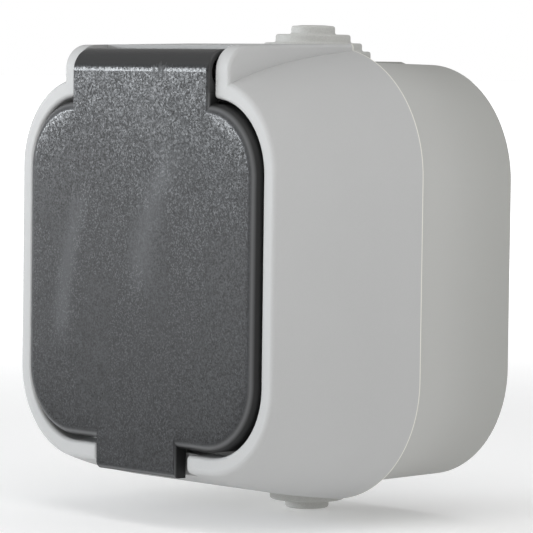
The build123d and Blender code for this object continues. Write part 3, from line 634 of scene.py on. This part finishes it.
class OUTDOOR_SOCKET_OT_plastics(bpy.types.Operator):
    """Finish the housing, rear box, dish and contact carrier"""

    bl_idname = "outdoor_socket.plastics"
    bl_label = "Finish Pale Plastics"

    # Where the painted highlight on the parting edge reaches its full brightness, as a share of its
    # width
    painted_highlight_core = 0.4

    def execute(self, context):
        settings = context.scene.socket_plastics
        grain, parting, width = settings.grain_size, housing_high.y, settings.edge_width
        housing = moulded_plastic(
            "housing_plastic", settings.housing_colour, grain, settings.housing_dullness
        )
        # Painted highlight along the parting edge, where the housing ends
        edge = housing.ramp(housing.y, parting - width, parting - self.painted_highlight_core * width)
        housing.tint(edge, settings.painted_edge_light)
        dress("housing_plastic", housing)
        box = moulded_plastic("box_plastic", settings.box_colour, grain, settings.box_dullness)
        # Painted shade: the box grows darker towards the wall
        box.tint(box.ramp(box.y, parting, 0), settings.painted_rear_shade)
        dress("box_plastic", box)
        dish = moulded_plastic("dish_plastic", settings.dish_colour, grain, settings.dish_dullness)
        dress("dish_plastic", dish)
        carrier = moulded_plastic(
            "carrier_plastic", settings.carrier_colour, grain, settings.carrier_dullness
        )
        dress("carrier_plastic", carrier)
        return {"FINISHED"}


class OUTDOOR_SOCKET_OT_lid(bpy.types.Operator):
    """Finish the dark lid"""

    bl_idname = "outdoor_socket.lid"
    bl_label = "Finish Lid"

    def execute(self, context):
        dress("lid_plastic", lid_plastic(context.scene.socket_lid))
        return {"FINISHED"}


class OUTDOOR_SOCKET_OT_rubbers(bpy.types.Operator):
    """Finish the grommets and seals"""

    bl_idname = "outdoor_socket.rubbers"
    bl_label = "Finish Rubbers"

    def execute(self, context):
        settings = context.scene.socket_plastics
        grommet = soft_rubber(
            "grommet_rubber",
            settings.grommet_colour,
            settings.grommet_pores,
            settings.grommet_dullness,
        )
        dress("grommet_rubber", grommet)
        seal = soft_rubber(
            "seal_rubber", settings.seal_colour, settings.seal_pores, settings.seal_dullness
        )
        dress("seal_rubber", seal)
        return {"FINISHED"}


class OUTDOOR_SOCKET_OT_grommets(bpy.types.Operator):
    """Model the two stepped cable grommets with their moulded, rounded edges"""

    bl_idname = "outdoor_socket.grommets"
    bl_label = "Model Grommets"

    def execute(self, context):
        settings = context.scene.socket_grommets
        top = self.model(self.profile(settings), settings.edge_round)
        top.name = "stepped_grommet_top"
        bpy.ops.object.duplicate(linked=False)
        bottom = bpy.context.object
        bottom.name = "stepped_grommet_bottom"
        bpy.ops.transform.resize(value=(1, 1, -1), center_override=(0, 0, 0))
        bpy.ops.object.transform_apply(location=True, rotation=True, scale=True)
        self.face_outwards()
        for piece, node in ((top, "top_grommet"), (bottom, "bottom_grommet")):
            piece.data.name = piece.name
            piece.data.materials.clear()
            piece.data.materials.append(frame["nodes"][node].data.materials[0])
            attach(piece, "housing")
            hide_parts(node)
        return {"FINISHED"}

    def profile(self, settings):
        """Radius and height of each ring: down the hollow, round the flange and up the steps."""
        steps = list(zip(settings.step_radii, settings.step_tops))
        rings = []
        for radius, top in reversed(steps[1:]):
            roof = top - settings.wall
            if rings:
                rings.append((rings[-1][0], roof))
            rings.append((min(radius, settings.neck_radius) - settings.wall, roof))
        rings += [
            (rings[-1][0], 0),
            (settings.flange_radius, 0),
            (settings.flange_radius, settings.flange_thickness),
            (settings.neck_radius, settings.flange_thickness),
        ]
        foot = settings.neck_top
        rings.append((settings.neck_radius, foot))
        for radius, top in steps:
            rings += [(radius, foot), (radius, top)]
            foot = top
        rings.append((settings.crown_radius, grommet_high.z - grommet_low.z))
        return rings

    def model(self, rings, edge_round):
        """Draws the rings out of one another, closes the last, and rounds the edges."""
        foot = Vector((0, (grommet_low.y + grommet_high.y) / 2, grommet_low.z))
        up = Vector((0, 0, 1))
        radius, height = rings[0]
        bpy.ops.object.select_all(action="DESELECT")
        bpy.ops.mesh.primitive_circle_add(
            vertices=ROUND_SIDES, radius=radius, fill_type="NGON", location=foot + up * height
        )
        piece = bpy.context.object
        bpy.ops.object.mode_set(mode="EDIT")
        bpy.ops.mesh.select_mode(type="EDGE")
        bpy.ops.mesh.select_all(action="SELECT")
        for next_radius, next_height in rings[1:]:
            rise = up * (next_height - height)
            bpy.ops.mesh.extrude_edges_move(TRANSFORM_OT_translate={"value": rise})
            share = next_radius / radius
            middle = foot + up * next_height
            bpy.ops.transform.resize(value=(share, share, 1), center_override=middle)
            radius, height = next_radius, next_height
        bpy.ops.mesh.edge_face_add()
        bpy.ops.object.mode_set(mode="OBJECT")
        self.face_outwards()
        bpy.ops.object.modifier_add(type="BEVEL")
        bevel = piece.modifiers[-1]
        bevel.width = edge_round
        bevel.segments = BEVEL_SEGMENTS
        bevel.limit_method = "ANGLE"
        bevel.angle_limit = MOULDED_ANGLE
        bpy.ops.object.modifier_apply(modifier=bevel.name)
        bpy.ops.object.shade_smooth_by_angle(angle=MOULDED_ANGLE)
        bpy.ops.object.transform_apply(location=True, rotation=True, scale=True)
        return piece

    def face_outwards(self):
        """Turns every face of the active piece outwards."""
        bpy.ops.object.mode_set(mode="EDIT")
        bpy.ops.mesh.select_all(action="SELECT")
        bpy.ops.mesh.normals_make_consistent(inside=False)
        bpy.ops.object.mode_set(mode="OBJECT")


class OUTDOOR_SOCKET_OT_metals(bpy.types.Operator):
    """Finish the screws, spring, contacts and earth bar"""

    bl_idname = "outdoor_socket.metals"
    bl_label = "Finish Metals"

    def execute(self, context):
        settings = context.scene.socket_metals
        # The last column says how far the metal's lines are drawn out along X, Y and Z
        for slot, colour, dullness, drawn in (
            ("plated_steel", settings.steel_colour, settings.steel_dullness, (1, 6, 1)),
            ("spring_steel", settings.spring_colour, settings.spring_dullness, (1, 4, 4)),
            ("contact_brass", settings.brass_colour, settings.brass_dullness, (1, 8, 1)),
            ("earth_metal", settings.earth_colour, settings.earth_dullness, (1, 1, 8)),
        ):
            dress(slot, worked_metal(slot, colour, dullness, drawn))
        return {"FINISHED"}


class OUTDOOR_SOCKET_OT_spring(bpy.types.Operator):
    """Put a welded, smooth-shaded copy of the torsion spring in place of its node"""

    bl_idname = "outdoor_socket.spring"
    bl_label = "Twist Spring"

    def execute(self, context):
        node = frame["nodes"]["torsion_spring"]
        bpy.ops.object.select_all(action="DESELECT")
        node.select_set(True)
        context.view_layer.objects.active = node
        bpy.ops.object.duplicate(linked=False)
        piece = bpy.context.object
        bpy.ops.object.parent_clear(type="CLEAR_KEEP_TRANSFORM")
        piece.name = "twisting_spring"
        piece.data.name = piece.name
        for key in list(piece.keys()):
            del piece[key]
        bpy.ops.object.mode_set(mode="EDIT")
        bpy.ops.mesh.select_all(action="SELECT")
        bpy.ops.mesh.remove_doubles(threshold=WELD)
        bpy.ops.object.mode_set(mode="OBJECT")
        bpy.ops.mesh.customdata_custom_splitnormals_clear()
        bpy.ops.object.shade_smooth_by_angle(angle=WIRE_ANGLE)
        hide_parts("torsion_spring")
        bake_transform(piece)
        return {"FINISHED"}


class Light(NamedTuple):
    """An area light: where it hangs round the socket, in degrees and metres, and its size."""

    name: str
    power: str
    azimuth: float
    elevation: float
    distance: float
    width: float
    height: float


LIGHTS = (
    Light("key_strip", "key_power", -47, 8, distance=0.9, width=0.6, height=0.09),
    Light("side_softbox", "side_power", 66, 42, distance=0.4, width=0.25, height=0.25),
    Light("top_softbox", "top_power", 60, 80, distance=1.2, width=1.2, height=1.2),
    Light("fill_softbox", "fill_power", -10, 30, distance=1.1, width=0.8, height=0.5),
    Light("far_softbox", "far_power", 100, 8, distance=1.2, width=1.0, height=0.5),
)
FIBRE_SIZE = 1.5 * MM
FIBRE_SHADE = -0.02

# Heights, on a sphere of radius one, between which the white horizon fades into the sky
HORIZON_FADE = (0.04, 0.14)
HORIZON_STRENGTH = 1.0


def aim(place, target):
    """A matrix at a place whose -Z axis points at a target."""
    turn = (target - place).to_track_quat("-Z", "Y").to_matrix().to_4x4()
    return Matrix.Translation(place) @ turn


def around(azimuth, elevation):
    """The direction from the socket at an azimuth from its front and an elevation."""
    level = cos(elevation)
    return Vector((sin(azimuth) * level, -cos(azimuth) * level, sin(elevation)))


class OUTDOOR_SOCKET_OT_stage(bpy.types.Operator):
    """Lay the floor, set the lights and place the camera"""

    bl_idname = "outdoor_socket.stage"
    bl_label = "Set Up Studio"

    def execute(self, context):
        settings = context.scene.socket_studio
        self.lay_floor(settings)
        self.hang_lights(settings)
        self.light_sky(context, settings)
        self.place_camera(context, settings)
        return {"FINISHED"}

    def lay_floor(self, settings):
        """Lays a floor whose glow is painted light: it glows further out, and brighter on a wedge
        in front of the lid that stands in for a reflector card.
        """
        bpy.ops.object.select_all(action="DESELECT")
        bpy.ops.mesh.primitive_circle_add(
            vertices=ROUND_SIDES,
            radius=settings.floor_radius,
            fill_type="NGON",
            location=(0, 0, cad_low.z),
        )
        floor = bpy.context.object
        floor.name = "floor"
        finish = Finish("floor_paper", settings.floor_colour, settings.floor_dullness)
        fibre = finish.noise(FIBRE_SIZE, detail=2.0)
        shade = lighter(settings.floor_colour, FIBRE_SHADE)
        finish.set("Base Color", finish.mix(fibre, shade, settings.floor_colour))
        reach = finish.vector("LENGTH", finish.place)
        glow = finish.ramp(
            reach, settings.glow_start, settings.glow_end, settings.near_glow, 1.0
        )
        ahead = around(settings.card_azimuth, 0)
        across = finish.math("MULTIPLY", finish.x, ahead.x)
        forward = finish.math("MULTIPLY_ADD", finish.y, ahead.y, across)
        heading = finish.math("DIVIDE", forward, reach)
        outer, inner = cos(settings.card_outer), cos(settings.card_inner)
        wedge = finish.ramp(heading, outer, inner, 0, settings.card_glow)
        beyond = finish.ramp(reach, settings.card_start, settings.card_end)
        card = finish.math("MULTIPLY", wedge, beyond)
        finish.set("Emission Color", WHITE)
        finish.set("Emission Strength", finish.math("ADD", glow, card))
        floor.data.materials.append(finish.material)

    def hang_lights(self, settings):
        """Hangs the area lights, each aimed at the socket's middle."""
        centre = (cad_low + cad_high) / 2
        for lamp in LIGHTS:
            bpy.ops.object.light_add(type="AREA")
            light = bpy.context.object
            light.name = lamp.name
            light.data.shape = "RECTANGLE"
            light.data.size = lamp.width
            light.data.size_y = lamp.height
            light.data.energy = getattr(settings, lamp.power)
            light.data.color = settings.key_tint if lamp.name == "key_strip" else WHITE
            light.visible_camera = False
            direction = around(radians(lamp.azimuth), radians(lamp.elevation))
            light.matrix_world = aim(centre + direction * lamp.distance, centre)

    def light_sky(self, context, settings):
        """Makes a white horizon with a dimmer sky above it."""
        world = bpy.data.worlds.new("studio")
        world.use_nodes = True
        sky = world.node_tree
        heading = sky.nodes.new("ShaderNodeTexCoord")
        axes = sky.nodes.new("ShaderNodeSeparateXYZ")
        band = sky.nodes.new("ShaderNodeMapRange")
        band.interpolation_type = "SMOOTHSTEP"
        sky.links.new(heading.outputs["Generated"], axes.inputs["Vector"])
        sky.links.new(axes.outputs["Z"], band.inputs["Value"])
        fade = (*HORIZON_FADE, HORIZON_STRENGTH, settings.sky_strength)
        for socket, setting in zip(band.inputs[1:5], fade):
            socket.default_value = setting
        background = sky.nodes["Background"]
        sky.links.new(band.outputs["Result"], background.inputs["Strength"])
        background.inputs["Color"].default_value = (*WHITE, 1)
        context.scene.world = world
        context.scene.view_settings.view_transform = "Standard"

    def place_camera(self, context, settings):
        """Places the camera and makes it the scene's own."""
        azimuth, roll = settings.azimuth, settings.roll
        back = around(azimuth, settings.elevation)
        level = Vector((cos(azimuth), sin(azimuth), 0))
        upright = back.cross(level)
        right = level * cos(roll) + upright * sin(roll)
        up = upright * cos(roll) - level * sin(roll)
        middle = Vector((0, -settings.aim_depth, 0))
        target = middle + level * settings.aim_right + upright * settings.aim_up
        bpy.ops.object.camera_add()
        camera = bpy.context.object
        camera.name = "camera"
        camera.data.lens = settings.lens
        camera.data.clip_start = settings.clip_start
        turn = Matrix((right, up, back)).transposed().to_4x4()
        camera.matrix_world = Matrix.Translation(target + back * settings.distance) @ turn
        context.scene.camera = camera


class OUTDOOR_SOCKET_PT_panel(bpy.types.Panel):
    """Lists the steps that dress the socket"""

    bl_label = "Outdoor Socket"
    bl_space_type = "VIEW_3D"
    bl_region_type = "UI"
    bl_category = "Outdoor Socket"

    def draw(self, context):
        for step in STEPS:
            self.layout.operator(step.bl_idname)


STEPS = (
    OUTDOOR_SOCKET_OT_plastics,
    OUTDOOR_SOCKET_OT_lid,
    OUTDOOR_SOCKET_OT_rubbers,
    OUTDOOR_SOCKET_OT_grommets,
    OUTDOOR_SOCKET_OT_metals,
    OUTDOOR_SOCKET_OT_spring,
    OUTDOOR_SOCKET_OT_stage,
)
SETTINGS = {
    "socket_plastics": PlasticSettings,
    "socket_lid": LidSettings,
    "socket_grommets": GrommetSettings,
    "socket_metals": MetalSettings,
    "socket_spring": SpringSettings,
    "socket_studio": StudioSettings,
}


def register():
    """Adds the settings, steps and panel."""
    for name, group in SETTINGS.items():
        bpy.utils.register_class(group)
        setattr(bpy.types.Scene, name, PointerProperty(type=group))
    for step in STEPS:
        bpy.utils.register_class(step)
    bpy.utils.register_class(OUTDOOR_SOCKET_PT_panel)


def unregister():
    """Takes away the panel, steps and settings."""
    bpy.utils.unregister_class(OUTDOOR_SOCKET_PT_panel)
    for step in reversed(STEPS):
        bpy.utils.unregister_class(step)
    for name, group in reversed(SETTINGS.items()):
        delattr(bpy.types.Scene, name)
        bpy.utils.unregister_class(group)


def main():
    """Dresses the socket."""
    register()
    bpy.ops.outdoor_socket.plastics()
    bpy.ops.outdoor_socket.lid()
    bpy.ops.outdoor_socket.rubbers()
    bpy.ops.outdoor_socket.grommets()
    bpy.ops.outdoor_socket.metals()
    bpy.ops.outdoor_socket.spring()
    bpy.ops.outdoor_socket.stage()


if __name__ == "__main__":
    main()
